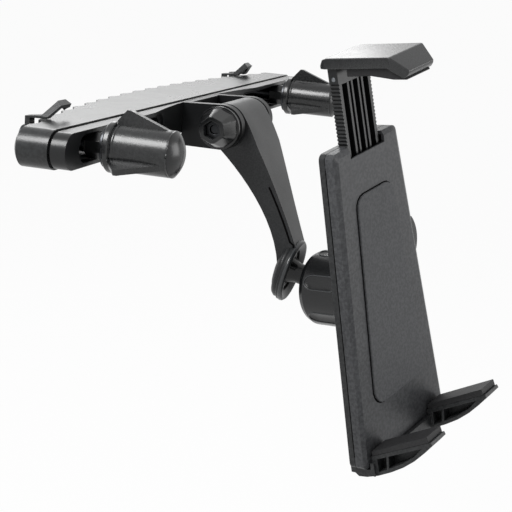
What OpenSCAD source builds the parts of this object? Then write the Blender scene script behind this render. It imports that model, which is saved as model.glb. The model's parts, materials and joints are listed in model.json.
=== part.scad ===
// Headrest tablet mount: a toothed bar that clamps to two headrest posts,
// an arm on a cross bolt, a ball joint and a ratchet holder for a tablet.
// X runs along the bar, Y points to the seat, Z is up. Units are millimetres.

/* [Bar] */
// Distance between the centres of the bar's two round ends
bar_span = 279; // [220:1:320]
// Height of the rear channel
channel_h = 14.6; // [13:0.1:18]
// How far the channel stands out above and below the front plate
plate_step = 0.6; // [0.3:0.1:1]
// Thickness of the front plate
plate_t = 6.3; // [5:0.1:9]
// Depth of the rear channel at its ends
channel_end_d = 12.6; // [11:0.1:18]
// How far the rear edge bows towards the seat at the middle
rear_bow = 15.6; // [8:0.1:20]
// How far the front face is set back at the middle
front_setback = 5.4; // [3:0.1:5.6]
// Length of the set back stretch of the front face
setback_w = 130; // [100:1:150]
// Wall of the rear channel
channel_wall = 2.3; // [1.6:0.1:3]
// Distance between two post notches
notch_pitch = 14.5; // [13:0.1:17]
// Radius of a post notch
notch_r = 9; // [8:0.1:11]
// Depth of a post notch
notch_d = 2; // [1:0.1:3]

/* [Slots] */
// Distance from the middle to the inner end of a slot
slot_in = 52; // [46:1:70]
// Distance from a slot's outer end to the centre of the bar's round end
slot_end = 6.5; // [6:0.5:14]
// Height of the recess round a slot
recess_h = 10.4; // [9.6:0.1:11]
// Depth of the recess round a slot
recess_d = 3.6; // [2.5:0.1:4.2]

/* [Post clamps] */
// Distance of the left clamp bolt from its slot's outer end
left_in = 14; // [9:0.5:53]
// Distance of the right clamp bolt from its slot's outer end
right_in = 28.5; // [9:0.5:53]
// Radius of a clamp bolt
bolt_r = 3; // [2.5:0.1:3]
// Width of a claw's hook over its two feet
claw_w = 16; // [14:0.5:20]
// Thickness of a claw
claw_t = 4.5; // [3.5:0.1:6]
// Radius of a headrest post
post_r = 6.5; // [5:0.1:7]
// Rise of a hook over the bar
hook_rise = 7; // [5:0.1:9]
// Radius of a knob
knob_r = 8.6; // [7.5:0.1:9.5]
// Length of a knob without its cap
knob_l = 25; // [20:0.1:28]
// Height of a knob fin over the knob
fin_h = 5.6; // [3:0.1:7]
// Thickness of a knob fin
fin_t = 2.6; // [1.8:0.1:3.5]
// Bulge of the knob's end cap
cap_bulge = 3.4; // [1.5:0.1:4]

/* [Arm joint] */
// Thickness of a friction washer
friction_t = 1.5; // [1:0.1:2.5]
// Thickness of a cheek
cheek_t = 4.4; // [3.5:0.1:5.5]
// Radius of the cheeks' round ends
cheek_r = 9.8; // [9:0.1:10.2]
// Distance from the bar's face line to the arm's bolt
pivot_out = 19.6; // [18.5:0.1:24]
// Height of the arm's bolt
pivot_z = -2.4; // [-3:0.1:-1.8]
// Radius of the arm's bolt
pivot_r = 2; // [1.8:0.1:2.5]
// Length of the pivot cap
cap_l = 11.5; // [9:0.1:14]
// Radius of the pivot cap's base
cap_base_r = 9.3; // [8.5:0.1:10]
// Width over the flats of the cap's hexagon face
cap_face_w = 10.6; // [9.6:0.1:12]

/* [Arm] */
// Distance from the bar's face line to the dish
dish_out = 50.6; // [47:0.1:56]
// Drop of the dish below the bar's middle
dish_drop = 66.5; // [62:0.1:72]
// Radius of the dish
dish_r = 14.3; // [12:0.1:15]
// Half width of the arm at its knuckle
arm_top_hw = 15.9; // [12:0.1:16.5]
// Half width of the arm at the dish
arm_low_hw = 7; // [6:0.1:8]
// Depth of the dish's back
dish_back = 6.6; // [5.6:0.1:8]

/* [Ball joint] */
// Distance from the dish to the centre of the ball
ball_out = 23; // [22:0.1:26]
// Radius of the ball
ball_r = 8.5; // [8:0.1:9]
// Radius of the ball's neck
neck_r = 4.6; // [4:0.1:5]
// Radius of the lock ring
ring_r = 17; // [15.8:0.1:18]
// Length of the lock ring
ring_l = 24.4; // [20:0.1:25]
// Turn of the holder about the upright
holder_yaw = -20.6; // [-40:0.1:0]
// Tilt of the holder about its width
holder_pitch = -7.1; // [-20:0.1:10]
// Roll of the holder about its face's normal
holder_roll = -12.5; // [-25:0.1:5]
// Distance from the ball's centre to the holder's back
ball_to_back = 18; // [17:0.1:20]

/* [Holder] */
// Width of the holder at its foot
body_low_w = 68; // [62:0.5:80]
// Width of the holder at its top
body_top_w = 48.6; // [44:0.5:60]
// Distance from the ball's axis to the holder's top
body_up = 70.5; // [60:0.5:80]
// Distance from the ball's axis to the holder's lower edge
body_down = 70.3; // [60:0.5:80]
// Thickness of the back shell
back_t = 3.1; // [2.6:0.1:4]
// Thickness of the front shell
front_t = 5.2; // [4.6:0.1:7]
// Width of the bevel round the holder's face
bevel = 2.2; // [1:0.1:3]
// Wall of the holder's shells
shell_wall = 1.6; // [1.2:0.1:2]
// Width of the sliding rack
rack_w = 23.6; // [20:0.1:26]
// Thickness of the sliding rack
rack_t = 4.6; // [3.8:0.1:4.8]
// How far the rack stands out of the holder
rack_out = 33; // [10:0.5:34]
// Distance between two rack teeth
tooth_pitch = 1.6; // [1.4:0.1:2.4]
// Length of the rack inside the holder
rack_in = 62; // [50:0.5:64]
// Height of the notch that shows the rack
notch_h = 4.8; // [3:0.1:8]
// Thickness of the pad on the holder's face
pad_t = 1; // [0.6:0.1:1.6]
// Height of the release button over the ball's axis
button_z = 18; // [10:0.5:24]
// Distance of the release button from the holder's face
button_in = 3.2; // [2.9:0.1:3.6]
// Distance of the pad from the holder's sides
pad_in = 11.8; // [8:0.1:14]
// Distance of the shells' screws from the holder's ends
screw_in = 16; // [10:0.5:24]
// Length of the release button
button_l = 17; // [12:0.5:20]

/* [Jaws] */
// Width of the top jaw
jaw_w = 26; // [24:0.5:32]
// Reach of the top jaw's flat part
jaw_reach = 33; // [24:0.5:36]
// Width of the top jaw's tip
jaw_tip_w = 19; // [14:0.5:24]
// Reach of the top jaw's bent tip
tip_reach = 6.5; // [4:0.1:9]
// Thickness of the top jaw
jaw_t = 3.6; // [3:0.1:5]
// Thickness of the rubber liners
liner_t = 3.4; // [2.4:0.1:4.2]
// Width of a foot
foot_w = 11.5; // [9:0.5:14]
// Distance from a foot's side to the holder's lower corner
foot_in = 4.5; // [2:0.5:8]
// Reach of the feet from the holder's back
foot_reach = 40.5; // [36:0.5:52]
// Rise of the feet's tips
foot_rise = 18.4; // [16:0.1:25]
// Height of the feet's upper face at the holder's face
foot_root = 5.4; // [5:0.1:9]

/* [Hidden] */

// Clearances
run_gap = 0.05;
slide_gap = 0.3;
seat_gap = 0.2;
eps = 0.01;
screw_r = 2.4;
tooth_d = 0.8;
button_out = 3.6;
button_travel = 2.2;
big = 400;

// Bar
half_span = bar_span / 2;
slot_out = half_span - slot_end;
left_x = left_in - slot_out;
right_x = slot_out - right_in;
plate_h = channel_h - 2 * plate_step;
plate_end_r = plate_h / 2;
channel_end_r = channel_h / 2;
// Rise of the domes at the channel's ends
end_bulge = 2.8;
groove = 0.8;
rear_r = (half_span * half_span + rear_bow * rear_bow) / (2 * rear_bow);
front_r = (setback_w * setback_w / 4 + front_setback * front_setback) / (2 * front_setback);
slot_hw = bolt_r + 0.4;
notch_n = floor((bar_span - notch_pitch) / notch_pitch / 2);

// Clamps
recess_y = -plate_t + recess_d;
block_out = 3.9;
washer_y = -plate_t - block_out;
washer_t = 1.2;
knob_y = washer_y - washer_t - seat_gap;
nut_af = 10;
nut_t = 5;
claw_clear = 3.2;
wing_z = 2.9;
hook_off = 5;
guide_hw = 6.5;
guide_l = 8;
bolt_head_r = 4.4;
bolt_head_t = 3;
post_x = bolt_r + post_r + 1.2;
head_clear = nut_af / 2 / cos(30) + slide_gap;

// Arm joint
pivot_y = -pivot_out;
washer_in = arm_top_hw + seat_gap;
cheek_in = washer_in + friction_t;
bracket_hw = cheek_in + cheek_t;
nut_in = 6.6;
nut_x = -bracket_hw - seat_gap - cap_l + nut_in;
m4_af = 7;
m4_t = 3.2;
wall_y = -plate_t + front_setback;
wall_t = 3;
floor_y = pivot_y + cheek_r + 0.9;

// Arm
dish_y = -dish_out;
dish_z = -dish_drop;
dish_floor = -2.2;
ball_fall = 13.3;
ball_y = dish_y - ball_out * cos(ball_fall);
ball_z = dish_z - ball_out * sin(ball_fall);

// Ball joint
liner_r = ball_r + 0.15;
liner_wall = 1.1;
collet_r = liner_r + liner_wall + 0.25;
collet_wall = 1.1;
socket_r = collet_r + collet_wall + 0.25;
socket_wall = 1.5;
socket_mouth = 122;
ring_mouth = 12.8;

// Holder: in its own frame x is width, -y the face's normal and z its height,
// with the ball's centre at the origin
back_y = -ball_to_back;
split_y = back_y - back_t;
face_y = split_y - front_t;
body_h = body_up + body_down;
function half_w(z) = body_low_w / 2 - (body_low_w - body_top_w) / 2 * (z + body_down) / body_h;
rack_hw = rack_w / 2;
rack_mid_y = face_y + shell_wall + slide_gap + rack_t / 2;
rack_top = body_up + rack_out;
rack_low = body_up - rack_in;
rack_back_y = rack_mid_y + rack_t / 2;
rack_plain = 7;
notch_low = body_up - notch_h;
jaw_z = rack_top;
fold_y = back_y - jaw_reach;
tip_y = fold_y - tip_reach;
foot_tip_y = back_y - foot_reach;
foot_x = body_low_w / 2 - foot_in - foot_w / 2;
foot_web = 1.4;
pad_up = body_up - 21.5;
pad_low = 25.3 - body_down;
button_y = face_y + button_in;
lever_y = button_y;
lever_x = rack_hw + slide_gap;
lever_pin_z = button_z + 9;
push_x = half_w(button_z) - 4.5 - slide_gap;

// Places a shape of the holder's frame in the mount's frame
module holder_place() {
  translate([0, ball_y, ball_z])
    rotate([0, 0, holder_yaw]) rotate([holder_pitch, 0, 0]) rotate([0, holder_roll, 0])
      children();
}

// A disc or tube along Y, from y0 to y1
module along_y(r, y0, y1) {
  translate([0, y0, 0]) rotate([-90, 0, 0]) cylinder(r = r, h = y1 - y0, $fn = 64);
}

// A disc along X, from x0 to x1
module along_x(r, x0, x1) {
  translate([x0, 0, 0]) rotate([0, 90, 0]) cylinder(r = r, h = x1 - x0, $fn = 64);
}

// A box given by its two corners
module block(a, b) {
  translate(a) cube(b - a);
}

// A stadium outline in the X-Z plane, extruded from y0 to y1
module stadium(x0, x1, r, y0, y1) {
  for (x = [x0, x1]) translate([x, 0, 0]) along_y(r, y0, y1);
  block([x0, y0, -r], [x1, y1, r]);
}

// The plan of the bar: bowed rear edge with post notches
module bar_plan() {
  difference() {
    intersection() {
      translate([-big / 2, -30]) square([big, 100]);
      translate([0, channel_end_d + rear_bow - rear_r]) circle(r = rear_r, $fn = 360);
    }
    for (i = [-notch_n : notch_n])
      let (a = asin(i * notch_pitch / rear_r))
        translate([rear_r * sin(a),
                   channel_end_d + rear_bow - rear_r + (rear_r + notch_r - notch_d) * cos(a)])
          circle(r = notch_r, $fn = 48);
  }
}

// The domed rear of a round end, which closes the channel behind it
module end_dome() {
  dome_r = (channel_end_r * channel_end_r + end_bulge * end_bulge) / (2 * end_bulge);
  intersection() {
    along_y(channel_end_r, channel_end_d / 2, 2 * channel_end_d);
    translate([0, channel_end_d + end_bulge - dome_r, 0]) sphere(r = dome_r, $fn = 96);
  }
}

module rear_channel() {
  color("#3c3e40")
  difference() {
    union() {
      intersection() {
        stadium(-half_span, half_span, channel_end_r, groove / 2, 60);
        translate([0, 0, -channel_h]) linear_extrude(height = 2 * channel_h) bar_plan();
      }
      for (s = [-1, 1]) translate([s * half_span, 0, 0]) end_dome();
    }
    for (s = [-1, 1]) {
      // Hollow between the two flanges, open to the rear
      block([min(s * 14, s * (half_span - 2)), groove / 2 + channel_wall, -channel_h / 2 + channel_wall],
            [max(s * 14, s * (half_span - 2)), 60, channel_h / 2 - channel_wall]);
      translate([s * (slot_in + slot_out) / 2, 0, 0])
        stadium(-(slot_out - slot_in) / 2 + slot_hw, (slot_out - slot_in) / 2 - slot_hw, slot_hw, -1, 10);
      translate([s * 8, 0, 0]) along_y(1.3, -1, 14);
    }
  }
}

module front_plate() {
  color("#333537")
  difference() {
    union() {
      stadium(-half_span, half_span, plate_end_r, -plate_t, -groove / 2);
      stadium(-half_span, half_span, plate_end_r - groove, -groove / 2 - eps, groove / 2);
    }
    // Setback of the middle
    translate([0, wall_y - front_r, -plate_h])
      cylinder(r = front_r, h = 2 * plate_h, $fn = 360);
    for (s = [-1, 1]) {
      translate([s * (slot_in + slot_out) / 2, 0, 0]) {
        stadium(-(slot_out - slot_in) / 2 + slot_hw, (slot_out - slot_in) / 2 - slot_hw, slot_hw, -20, 10);
        stadium(-(slot_out - slot_in) / 2 + slot_hw, (slot_out - slot_in) / 2 - slot_hw,
                recess_h / 2, -20, recess_y);
      }
      translate([s * 8, 0, 0]) along_y(1.6, -20, 14);
    }
  }
}

// Two screws that hold the bar's middle together, from the rear
module bar_screws() {
  color("#8d9093")
  for (s = [-1, 1]) translate([s * 8, 0, 0]) along_y(1.25, wall_y + 0.1, 12);
}

module guide_block(x) {
  color("#2b2c2e")
  translate([x, 0, 0])
    difference() {
      rotate([90, 0, 0]) rotate([0, 0, 22.5])
        translate([0, 0, -recess_y + seat_gap])
          cylinder(r = (recess_h / 2 - slide_gap) / cos(22.5), h = -washer_y + recess_y - seat_gap, $fn = 8);
      along_y(bolt_r + 0.1, -30, 10);
    }
}

// The claw: a guide inside the channel, a wing behind the rear edge that holds
// the post, and a hook on two feet that leans forward over the bar
module claw(x, s) {
  y0 = rear_y(x) + claw_clear;
  low = -channel_h / 2;
  guide_z = channel_h / 2 - channel_wall - slide_gap;
  tip = s * (post_x + post_r - 2);
  color("#303234")
  translate([x, y0, 0])
    difference() {
      union() {
        block([-guide_hw, -guide_l, -guide_z], [guide_hw, 0.5, guide_z]);
        block([min(tip, hook_off - claw_w / 2), 0, low], [max(tip, hook_off + claw_w / 2), claw_t, wing_z]);
        block([min(s * head_clear, tip), 0, low], [max(s * head_clear, tip), claw_t + 2, wing_z]);
        translate([hook_off, 0, channel_h / 2]) hook();
      }
      along_y(bolt_r + run_gap, -guide_l - 1, 30);
      along_y(bolt_head_r + seat_gap, claw_t - bolt_head_t - 0.4, 30);
      translate([s * post_x, -2.4, -20]) cylinder(r = post_r + 0.3, h = 40, $fn = 64);
    }
}

// Distance of the rear edge from the face line at a place along the bar
function rear_y(x) = channel_end_d + rear_bow - rear_r + sqrt(rear_r * rear_r - x * x);

// Two feet and the bridge between them, seen from the end of the bar
module hook() {
  lean = claw_clear - 2;
  rise = [[-3.2 - lean, 1.6], [-7.4 - lean, hook_rise],
          [-9.4 - lean, hook_rise - 1.6], [-5.2 - lean, slide_gap]];
  intersection() {
    rotate([90, 0, 90])
      linear_extrude(height = claw_w, center = true)
        polygon(concat([[0.2, wing_z - channel_h / 2 - 1], [2.2, wing_z - channel_h / 2 - 1], [2.2, 0.8]],
                       rise, [[0.2, slide_gap]]));
    // Narrows to its top; open between the feet
    difference() {
      translate([0, 30, 0]) rotate([90, 0, 0]) linear_extrude(height = 60)
        polygon([[-claw_w / 2, -9], [-claw_w / 2, 1.2], [-3.6, hook_rise - 0.8], [-2.6, hook_rise + 1],
                 [2.6, hook_rise + 1], [3.6, hook_rise - 0.8], [claw_w / 2, 1.2], [claw_w / 2, -9]]);
      translate([0, 31, 0]) rotate([90, 0, 0]) linear_extrude(height = 62)
        polygon([[-claw_w / 2 + 4, -10], [-claw_w / 2 + 4, 0.8], [-1.6, 4], [1.6, 4], [claw_w / 2 - 4, 0.8],
                 [claw_w / 2 - 4, -10]]);
    }
  }
}

module claw_pad(x, s) {
  y0 = rear_y(x) + claw_clear;
  color("#1c1c1c")
  translate([x + s * post_x, y0 - 2.4, 0])
    intersection() {
      difference() {
        cylinder(r = post_r + 0.27, h = channel_h, center = true, $fn = 64);
        cylinder(r = post_r - 0.7, h = 2 * channel_h, center = true, $fn = 64);
      }
      block([-4.4, 2.5, 1.5 - channel_h / 2], [4.4, 20, wing_z - 1.5]);
    }
}

module clamp_bolt(x) {
  color("#9a9da0")
  translate([x, 0, 0]) {
    along_y(bolt_r, knob_y - 18, rear_y(x) + claw_clear + claw_t - bolt_head_t);
    translate([0, rear_y(x) + claw_clear + claw_t - bolt_head_t - 0.35, 0])
      along_y(bolt_head_r, 0, bolt_head_t);
  }
}

module clamp_washer(x) {
  color("#8a8d90")
  translate([x, 0, 0])
    difference() {
      along_y(knob_r - 0.6, washer_y - washer_t, washer_y);
      along_y(bolt_r + 0.1, -40, 0);
    }
}

module knob(x) {
  color("#2e3032")
  translate([x, knob_y, 0])
    difference() {
      union() {
        rotate([90, 0, 0])
          rotate_extrude($fn = 96)
            polygon([[0, 0], [knob_r + 0.5, 0], [knob_r + 0.9, 0.5], [knob_r + 0.9, 2],
                     [knob_r + 0.5, 2.5], [knob_r, 2.5], [knob_r, knob_l], [0, knob_l]]);
        for (a = [90, 210, 330]) rotate([0, -a, 0]) fin();
      }
      // Bolt hole and nut pocket
      along_y(bolt_r + 0.3, -knob_l + 2.5, 1);
      translate([0, -nut_t - 1, 0]) rotate([-90, 0, 0])
        cylinder(r = nut_af / 2 / cos(30) + 0.05, h = nut_t + 2, $fn = 6);
      // Seat of the end cap
      along_y(knob_r - 1.4, -knob_l - 1, -knob_l + 1.4);
    }
}

// One triangular fin in the X-Y plane, highest near the bar
module fin() {
  linear_extrude(height = fin_t, center = true)
    polygon([[knob_r - 1, -1.2], [knob_r + 1, -2.2], [knob_r + fin_h, -6.2], [knob_r + fin_h, -7.6],
             [knob_r + fin_h - 0.6, -9], [knob_r, -22.2], [knob_r - 1, -22.2]]);
}

module knob_nut(x) {
  color("#9a9da0")
  translate([x, knob_y - 1, 0])
    difference() {
      translate([0, -nut_t, 0]) rotate([-90, 0, 0])
        cylinder(r = nut_af / 2 / cos(30), h = nut_t, $fn = 6);
      along_y(bolt_r + run_gap, -10, 10);
    }
}

module knob_cap(x) {
  cap_in = knob_r - 1.45;
  bulge_r = (knob_r * knob_r + cap_bulge * cap_bulge) / (2 * cap_bulge);
  color("#34363a")
  translate([x, knob_y - knob_l, 0]) {
    along_y(cap_in, -eps, 1.35);
    intersection() {
      along_y(knob_r - 0.1, -cap_bulge - 1, 0);
      translate([0, bulge_r - cap_bulge, 0]) sphere(r = bulge_r, $fn = 96);
    }
  }
}

// Outline of a cheek, with the bolt's centre at the origin: from the bar to the round end
module cheek_outline() {
  difference() {
    union() {
      circle(r = cheek_r, $fn = 96);
      polygon([[-pivot_y + wall_y, -cheek_r + 0.1], [-pivot_y + wall_y, 6.6 - pivot_z],
               [0, cheek_r], [0, -cheek_r]]);
    }
    circle(r = pivot_r + 0.1, $fn = 48);
  }
}

module pivot_bracket() {
  color("#35373a")
  difference() {
    union() {
      for (s = [-1, 1])
        translate([s * (bracket_hw - cheek_t / 2), pivot_y, pivot_z])
          rotate([90, 0, 90]) linear_extrude(height = cheek_t, center = true) cheek_outline();
      block([-bracket_hw, wall_y - wall_t, pivot_z - cheek_r + 0.1], [bracket_hw, wall_y, 6.6]);
      block([-bracket_hw, floor_y, pivot_z - cheek_r + 0.1], [bracket_hw, wall_y, pivot_z - cheek_r + 2.6]);
    }
    // The bar's set back face
    difference() {
      block([-60, wall_y - 3, -30], [60, wall_y + 1, 30]);
      translate([0, wall_y - front_r, -30]) cylinder(r = front_r - 0.05, h = 60, $fn = 360);
    }
    for (s = [-1, 1]) translate([s * 8, 0, 0]) along_y(1.7, -20, 10);
  }
}

// Two screws through the bracket's wall into the bar
module bracket_screws() {
  color("#8d9093")
  for (s = [-1, 1]) translate([s * 8, wall_y - wall_t, 0]) {
    along_y(3, -2, 0);
    along_y(1.3, -eps, wall_t);
  }
}

module pivot_bolt() {
  color("#9a9da0")
  translate([0, pivot_y, pivot_z]) {
    along_x(pivot_r, nut_x - m4_t + 1, bracket_hw + 0.1);
    difference() {
      along_x(5, bracket_hw, bracket_hw + 2.6);
      translate([bracket_hw + 1, 0, 0]) rotate([0, 90, 0]) cylinder(r = 1.7, h = 3, $fn = 6);
    }
  }
}

module friction_washers() {
  color("#232425")
  for (s = [-1, 1]) translate([0, pivot_y, pivot_z])
    difference() {
      along_x(cheek_r - 0.6, min(s * washer_in, s * cheek_in), max(s * washer_in, s * cheek_in));
      along_x(pivot_r + 0.15, -60, 60);
    }
}

module pivot_cap() {
  color("#2c2e30")
  translate([-bracket_hw - seat_gap, pivot_y, pivot_z]) rotate([0, -90, 0])
    difference() {
      union() {
        cylinder(r = cap_base_r, h = 2.4, $fn = 96);
        intersection() {
          cylinder(r1 = cap_base_r + 0.2, r2 = cap_face_w / 2 / cos(30) - 0.4, h = cap_l, $fn = 96);
          rotate([0, 0, 8])
            cylinder(r1 = cap_base_r / cos(30) - 0.2, r2 = cap_face_w / 2 / cos(30), h = cap_l, $fn = 6);
        }
      }
      translate([0, 0, -1]) cylinder(r = pivot_r + 0.2, h = 30, $fn = 48);
      rotate([0, 0, 8]) translate([0, 0, cap_l - nut_in])
        cylinder(r = m4_af / 2 / cos(30) + 0.1, h = 10, $fn = 6);
    }
}

module pivot_nut() {
  color("#9a9da0")
  translate([nut_x, pivot_y, pivot_z]) rotate([0, -90, 0])
    difference() {
      rotate([0, 0, 8]) cylinder(r = m4_af / 2 / cos(30), h = m4_t, $fn = 6);
      translate([0, 0, -1]) cylinder(r = pivot_r + run_gap, h = 30, $fn = 48);
    }
}

// A point on a curve of four control points
function curve(p, t) =
  let (u = 1 - t) u * u * u * p[0] + 3 * u * u * t * p[1] + 3 * u * t * t * p[2] + t * t * t * p[3];
// Front and rear edge of the arm in the Y-Z plane, from the knuckle to the dish
arm_front = [[pivot_y - 7.8, pivot_z + 5.9], [pivot_y - 13.4, pivot_z - 1.6],
             [dish_y + 10.6, dish_z + 46.5], [dish_y - 3, dish_z + 12.4]];
arm_rear = [[pivot_y + 5.6, pivot_z - 7], [pivot_y - 7.4, pivot_z - 19.6],
            [dish_y + 7.6, dish_z + 24.5], [dish_y + 5, dish_z + 3]];
// Half width of the arm, from 1 at the knuckle to 0 at the dish
function arm_hw(u) = arm_low_hw + (arm_top_hw - arm_low_hw) * pow(u, 1.7);

module arm() {
  steps = 12;
  z0 = pivot_z - 8;
  z1 = dish_z + 6;
  color("#3a3c3f")
  difference() {
    union() {
      translate([0, pivot_y, pivot_z]) along_x(cheek_r, -arm_top_hw, arm_top_hw);
      intersection() {
        rotate([90, 0, 90])
          linear_extrude(height = 2 * arm_top_hw, center = true)
            polygon(concat([for (i = [0 : steps]) curve(arm_front, i / steps)], [[dish_y, dish_z + 1]],
                           [for (i = [steps : -1 : 0]) curve(arm_rear, i / steps)]));
        // Taper of the arm in front view
        translate([0, 40, 0]) rotate([90, 0, 0])
          linear_extrude(height = 140)
            polygon(concat([[-arm_top_hw, pivot_z + 12], [arm_top_hw, pivot_z + 12]],
                           [for (i = [0 : steps]) [arm_hw(1 - i / steps), z0 + (z1 - z0) * i / steps]],
                           [[arm_low_hw, dish_z - 4], [-arm_low_hw, dish_z - 4]],
                           [for (i = [steps : -1 : 0]) [-arm_hw(1 - i / steps), z0 + (z1 - z0) * i / steps]]));
      }
      dish();
    }
    translate([0, pivot_y, pivot_z]) along_x(pivot_r + run_gap, -60, 60);
    dish_cuts();
  }
}

// Turns a shape that stands on z = 0 to the dish: z runs from the dish to the ball
module dish_place() {
  translate([0, dish_y, dish_z]) rotate([90 + ball_fall, 0, 0]) children();
}

module dish() {
  dish_place()
    rotate_extrude($fn = 96)
      polygon([[0, -dish_back], [5.5, -dish_back], [9.6, -dish_back + 1], [dish_r - 1.4, -2.8], [dish_r, -1.5],
               [dish_r, 0.7], [dish_r - 0.7, 1.4], [dish_r - 2, 1.2], [7, dish_floor], [0, dish_floor]]);
}

module dish_cuts() {
  dish_place() {
    rotate_extrude($fn = 96)
      polygon([[0, dish_floor], [7, dish_floor], [dish_r - 2, 1.2], [dish_r - 2, 12], [0, 12]]);
    translate([0, 0, -30]) cylinder(r = 1.7, h = 60, $fn = 48);
    translate([0, 0, -14 - 4.5]) cylinder(r = 3.2, h = 14, $fn = 48);
  }
}

module ball_stud() {
  color("#303234")
  dish_place()
    difference() {
      union() {
        translate([0, 0, dish_floor]) cylinder(r1 = 6.9, r2 = neck_r, h = 5.4, $fn = 64);
        cylinder(r = neck_r, h = ball_out, $fn = 64);
        translate([0, 0, ball_out]) sphere(r = ball_r, $fn = 96);
      }
      translate([0, 0, -3]) cylinder(r = 1.35, h = 17, $fn = 48);
    }
}

module stud_screw() {
  color("#8d9093")
  dish_place() {
    translate([0, 0, -4.5 - 2]) cylinder(r = 2.9, h = 2, $fn = 48);
    translate([0, 0, -4.5 - eps]) cylinder(r = 1.35, h = 15, $fn = 48);
  }
}

// Points on an arc about the ball's centre, from one polar angle to another
function arc_points(r, a0, a1, n) =
  [for (i = [0 : n]) let (a = a0 + (a1 - a0) * i / n) r * [sin(a), cos(a)]];

// A shell round the ball, from one polar angle to another, measured from the face's normal
module ball_shell(r, wall, a0, a1) {
  rotate([90, 0, 0])
    rotate_extrude($fn = 96)
      polygon(concat(arc_points(r, a0, a1, 9), arc_points(r + wall, a1, a0, 9)));
}

module ball_liner() {
  color("#1b1b1c")
  holder_place() ball_shell(liner_r, liner_wall, 30, 112);
}

module ball_collet() {
  color("#232425")
  holder_place() ball_shell(collet_r, collet_wall, 24, 118);
}

module socket() {
  color("#2c2e30")
  holder_place()
    rotate([90, 0, 0])
      rotate_extrude($fn = 96)
        polygon(concat([[0, ball_to_back], [ring_r - 1.2, ball_to_back], [ring_r - 1.2, ball_to_back - 3],
                        [socket_r + socket_wall, ball_to_back - 4],
                        [socket_r + socket_wall, socket_r * cos(socket_mouth)]],
                       arc_points(socket_r, socket_mouth, 0, 12)));
}

module lock_ring() {
  in_r = socket_r + socket_wall + seat_gap;
  y1 = ring_l - ball_to_back + 5;
  color("#34363a")
  holder_place()
    difference() {
      rotate([-90, 0, 0])
        rotate_extrude($fn = 96)
          polygon([[in_r, y1 - ring_l], [ring_r - 0.6, y1 - ring_l], [ring_r, y1 - ring_l + 0.8],
                   [ring_r, y1 - 3.5], [ring_r - 1, y1 - 1.2], [ring_r - 3, y1], [ring_mouth, y1],
                   [ring_mouth, y1 - 1.8], [in_r, 7]]);
      // Finger flutes
      for (a = [30 : 60 : 330])
        rotate([0, a, 0]) translate([ring_r + 10.4, 0, 0]) {
          along_y(11.2, y1 - ring_l + 6.5, y1 - 8.5);
          for (y = [y1 - ring_l + 6.5, y1 - 8.5]) translate([0, y, 0]) sphere(r = 11.2, $fn = 96);
        }
    }
}

// Outline of the holder's body, inset all round
module body_outline(inset = 0) {
  r = 3;
  polygon(concat(
    corner([half_w(body_up) - inset, body_up - inset], r, 0),
    corner([-half_w(body_up) + inset, body_up - inset], r, 90),
    corner([-half_w(-body_down) + inset, -body_down + inset], r, 180),
    corner([half_w(-body_down) - inset, -body_down + inset], r, 270)));
}

// A rounded corner as a run of points
function corner(p, r, a0) =
  let (c = p - r * [a0 == 0 || a0 == 270 ? 1 : -1, a0 < 180 ? 1 : -1])
    [for (i = [0 : 4]) c + r * [cos(a0 + i * 22.5), sin(a0 + i * 22.5)]];

// The outline extruded in the holder's frame, from y0 back to y1
module body_slab(y0, y1, inset = 0) {
  translate([0, y1, 0]) rotate([90, 0, 0]) linear_extrude(height = y1 - y0) body_outline(inset);
}

// Four places of the shells' screws, seen from the back
module shell_screw_places() {
  for (s = [-1, 1], z = [screw_in - body_down, body_up - screw_in])
    translate([s * (body_top_w / 2 - 7.3), 0, z]) children();
}

module back_shell() {
  color("#3c3e41")
  holder_place()
    difference() {
      body_slab(split_y + 0.25, back_y);
      body_slab(split_y - 1, back_y - shell_wall, shell_wall);
      block([-rack_hw - slide_gap, split_y - 1, body_up - 4],
            [rack_hw + slide_gap, back_y - shell_wall, body_up + 1]);
      shell_screw_places() along_y(screw_r, back_y - 1.1, back_y + 1);
    }
}

module front_shell() {
  color("#4a4c4f")
  holder_place()
    difference() {
      union() {
        hull() {
          body_slab(face_y + bevel * 0.5, split_y);
          body_slab(face_y, face_y + bevel * 0.5, bevel);
        }
        body_slab(split_y - eps, split_y + 0.25, 0.6);
      }
      body_slab(face_y + shell_wall, split_y + 1, shell_wall);
      // Notch that shows the rack
      block([-rack_hw - 1.2, face_y - 1, notch_low], [rack_hw + 1.2, face_y + shell_wall + 1, body_up + 1]);
      block([-rack_hw - slide_gap, face_y + 1, notch_low - 2], [rack_hw + slide_gap, split_y + 2, body_up + 1]);
      // Window of the release button
      block([half_w(button_z) - 6, button_y - 1.9, button_z - button_l / 2 - slide_gap],
            [half_w(button_z) + 6, button_y + 1.9, button_z + button_l / 2 + slide_gap]);
    }
}

module shell_screws() {
  color("#8d9093")
  holder_place()
    shell_screw_places() along_y(screw_r - 0.1, back_y - 1.1, back_y - 0.2);
}

module face_pad() {
  color("#505255")
  holder_place()
    translate([0, face_y, 0]) rotate([90, 0, 0]) linear_extrude(height = pad_t)
      polygon(concat(corner([half_w(pad_up) - pad_in, pad_up], 6, 0),
                     corner([pad_in - half_w(pad_up), pad_up], 6, 90),
                     corner([pad_in - half_w(pad_low), pad_low], 7, 180),
                     corner([half_w(pad_low) - pad_in, pad_low], 7, 270)));
}

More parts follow.
